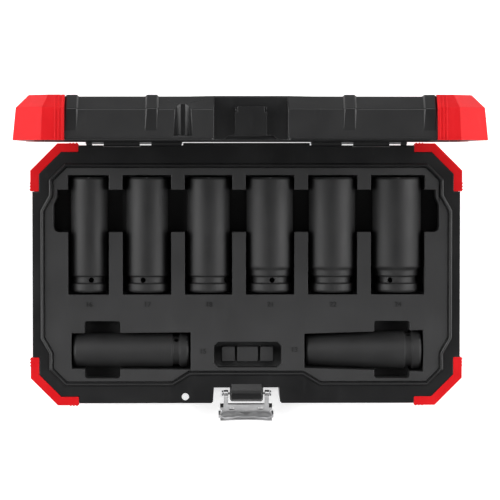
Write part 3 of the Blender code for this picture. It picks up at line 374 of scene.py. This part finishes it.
def socketSurface(size, drive, body, shape):
    # a closed profile carried round the axis: radius(station, angle) is round outside and a polygon inside
    theta = np.arange(shape["turns"]) * math.tau / shape["turns"]
    outside = [tuple(point) for point in filleted(socketOutline(drive, body, shape))]
    circle = np.ones_like(theta)
    square = polygonRadius(theta, 4, shape["square"] / 2, shape["squareRelief"])
    hexagon = polygonRadius(theta, 6, size / 2, shape["hexRelief"], math.pi / 6)
    bore = shape["bore"] * circle
    wide = size / 2 * shape["hexRelief"]
    most = body - shape["mouthWall"]
    end, deep, start = shape["length"], shape["squareDeep"], shape["hexStart"]
    drivePart = [(square + 1.0, 0.0), (square + 0.3, 0.25), (square, 1.0), (square, deep - 0.3),
                 (square, deep), (bore, deep + 0.05), (bore, start - 0.05)]
    hexPart = [(hexagon, start), (hexagon, start + 0.3)]
    mouth = [(hexagon, end - 2.4), (np.maximum(hexagon, wide - 0.2), end - 1.4),
             (wide * circle + 0.9, end - 0.25), (wide * circle + 1.2, end)]
    rows = [r * circle for r, s in outside] + [r for r, s in drivePart + hexPart]
    rows += [np.minimum(r, most) for r, s in mouth]
    heights = [s for r, s in outside + drivePart + hexPart + mouth]
    radius = np.array(rows)
    height = np.repeat(np.array(heights)[:, None], len(theta), 1)
    return np.stack([radius * np.cos(theta), radius * np.sin(theta), height], -1)


def closedGrid(grid):
    # quads over a grid that closes on itself both ways
    n, m = grid.shape[:2]
    number = np.arange(n * m).reshape(n, m)
    down, right = np.roll(number, -1, 0), np.roll(number, -1, 1)
    both = np.roll(down, -1, 1)
    return grid.reshape(-1, 3), np.stack([number, right, both, down], -1).reshape(-1, 4)


def laidDown(points, middle, way, shape):
    # own X turns up; own Z runs from the drive end to the working end
    half = shape["length"] / 2
    up, side, along = points[:, 0], points[:, 1], points[:, 2]
    if way == "y":
        place = np.stack([middle.x + side, middle.y - half + along, middle.z + up], -1)
    else:
        place = np.stack([middle.x + half - along, middle.y + side, middle.z + up], -1)
    return place * mm


def cutThrough(piece, tool):
    # takes the tool out of the piece for good, then drops the tool
    step = piece.modifiers.new("Cut", "BOOLEAN")
    step.object, step.solver, step.operation = tool, "EXACT", "DIFFERENCE"
    graph = bpy.context.evaluated_depsgraph_get()
    cutMesh = bpy.data.meshes.new_from_object(piece.evaluated_get(graph))
    piece.modifiers.clear()
    old, piece.data = piece.data, cutMesh
    bpy.data.meshes.remove(old)
    bpy.data.objects.remove(tool)


def holeTool(roll, middle, way, shape):
    # a round bar across the socket at the groove, turned about the socket's axis by the roll
    count = shape["holeSides"]
    angle = np.arange(count) * math.tau / count
    circle = np.stack([shape["holeAt"] + shape["hole"] * np.cos(angle), shape["hole"] * np.sin(angle)], -1)
    turn = math.radians(roll)
    ends = []
    for reach in (-shape["holeReach"], shape["holeReach"]):
        a = reach * math.cos(turn) - circle[:, 1] * math.sin(turn)
        b = reach * math.sin(turn) + circle[:, 1] * math.cos(turn)
        ends.append(laidDown(np.stack([a, b, circle[:, 0]], -1), middle, way, shape))
    mesh = bpy.data.meshes.new("holeTool")
    sides = [(k, (k + 1) % count, count + (k + 1) % count, count + k) for k in range(count)]
    caps = [tuple(range(count - 1, -1, -1)), tuple(range(count, 2 * count))]
    mesh.from_pydata(np.vstack(ends).tolist(), [], sides + caps)
    bm = bmesh.new()
    bm.from_mesh(mesh)
    bmesh.ops.recalc_face_normals(bm, faces=bm.faces)
    bm.to_mesh(mesh)
    bm.free()
    tool = bpy.data.objects.new("holeTool", mesh)
    bpy.context.scene.collection.objects.link(tool)
    return tool


def makeSocket(node, size, drive, body, roll, way):
    # the turned surface with its cross hole, in place of the CAD socket
    material = socketAlongY if way == "y" else socketAlongX
    middle = middleOf(node)
    grid = socketSurface(size, drive, body, socketShape)
    points, faces = closedGrid(grid)
    piece = newPiece("steel_" + node, laidDown(points, middle, way, socketShape), faces, material,
                     "body_" + node)
    bm = bmesh.new()
    bm.from_mesh(piece.data)
    bmesh.ops.recalc_face_normals(bm, faces=bm.faces)
    bm.to_mesh(piece.data)
    bm.free()
    cutThrough(piece, holeTool(roll, middle, way, socketShape))
    smoothBy(piece.data, 32.0)
    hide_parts(node)
    return piece


for entry in socketList:
    makeSocket(*entry)
print("stage: sockets made")


# size numbers beside the pockets, in millimetres

def numberMesh(text, size, thick):
    # a numeral as a thin closed solid, centred on its own origin
    curve = bpy.data.curves.new("number", "FONT")
    curve.body, curve.size, curve.extrude = text, size, thick / 2
    curve.align_x, curve.align_y = "CENTER", "CENTER"
    curve.resolution_u = 3
    holder = bpy.data.objects.new("number", curve)
    bpy.context.scene.collection.objects.link(holder)
    mesh = bpy.data.meshes.new_from_object(holder.evaluated_get(bpy.context.evaluated_depsgraph_get()))
    bpy.data.objects.remove(holder)
    bm = bmesh.new()
    bm.from_mesh(mesh)
    bmesh.ops.remove_doubles(bm, verts=bm.verts, dist=1e-6)
    bmesh.ops.recalc_face_normals(bm, faces=bm.faces)
    bm.to_mesh(mesh)
    bm.free()
    return mesh


inlayNumbers = {"size": 5.0, "thick": 0.5, "middle": 33.5, "row": -20.9, "shift": 0.3,
                "besideLeft": (-30.3, -53.6), "besideRight": (33.3, -52.5)}
for node, size, drive, body, roll, way in socketList:
    number = numberMesh(str(int(size)), inlayNumbers["size"] * mm, inlayNumbers["thick"] * mm)
    x = middleOf(node).x
    spot = inlayNumbers["besideLeft"] if x < 0 else inlayNumbers["besideRight"]
    if way == "y":
        spot = (x + inlayNumbers["shift"], inlayNumbers["row"])
    number.transform(Matrix.Translation(Vector((*spot, inlayNumbers["middle"])) * mm))
    settle("inlayNumber_" + node[7:], number, numberPaintedShade, "case")
print("stage: numbers made")


# camera, floor and light, in metres

studio = {"cameraPlace": (-0.029, 0.079, 1.834), "aim": (0.0024, 0.017, 0.034), "lens": 186.7,
          "floorHalf": 4.0, "floorTop": -0.0002, "floorGlow": 0.6, "air": 0.12}

camera = bpy.data.objects.new("camera", bpy.data.cameras.new("camera"))
camera.data.lens = studio["lens"]
camera.data.sensor_width = 36.0
camera.data.clip_end = 50.0
camera.location = studio["cameraPlace"]
look = Vector(studio["aim"]) - camera.location
back = -look.normalized()
right = Vector((0, 1, 0)).cross(back).normalized()
turned = Matrix((right, back.cross(right), back)).transposed().to_4x4()
camera.matrix_world = Matrix.Translation(camera.location) @ turned
bpy.context.scene.collection.objects.link(camera)
bpy.context.scene.camera = camera

floorMesh = bpy.data.meshes.new("floor")
reach, top = studio["floorHalf"], studio["floorTop"]
corners = [(-reach, -reach, top), (reach, -reach, top), (reach, reach, top), (-reach, reach, top)]
floorMesh.from_pydata(corners, [], [(0, 1, 2, 3)])
floor = bpy.data.objects.new("floor", floorMesh)
bpy.context.scene.collection.objects.link(floor)
floorMaterial, floorTree, floorShader, floorPlace = newMaterial("paleFloor")
floorShader.inputs["Base Color"].default_value = (0.93, 0.93, 0.93, 1.0)
floorShader.inputs["Roughness"].default_value = 0.9
floorShader.inputs["Emission Color"].default_value = (1.0, 1.0, 1.0, 1.0)
floorShader.inputs["Emission Strength"].default_value = studio["floorGlow"]
floorMesh.materials.append(floorMaterial)

# name, place, aim, width and depth, watts
lightList = (("key", (0.0, 1.75, 2.4), (0.0, 0.0, 0.05), (1.6, 1.0), 24.0),
             ("front", (0.1, -1.9, 1.5), (0.0, 0.0, 0.05), (1.8, 0.7), 3.0),
             ("leftSide", (-1.3, 0.1, 0.8), (0.0, 0.05, 0.12), (1.0, 1.2), 20.0),
             ("rightSide", (1.3, 0.1, 0.8), (0.0, 0.05, 0.12), (1.0, 1.2), 20.0))
for name, place, aim, size, power in lightList:
    data = bpy.data.lights.new(name, "AREA")
    data.shape, data.size, data.size_y, data.energy = "RECTANGLE", size[0], size[1], power
    lamp = bpy.data.objects.new(name, data)
    lamp.location = place
    lamp.rotation_euler = (Vector(aim) - Vector(place)).to_track_quat("-Z", "Y").to_euler()
    bpy.context.scene.collection.objects.link(lamp)

world = bpy.data.worlds.new("studioAir")
world.use_nodes = True
air = world.node_tree.nodes["Background"]
air.inputs["Color"].default_value = (1.0, 1.0, 1.0, 1.0)
air.inputs["Strength"].default_value = studio["air"]
bpy.context.scene.world = world
bpy.context.scene.view_settings.view_transform = "Standard"
print("stage: studio set")
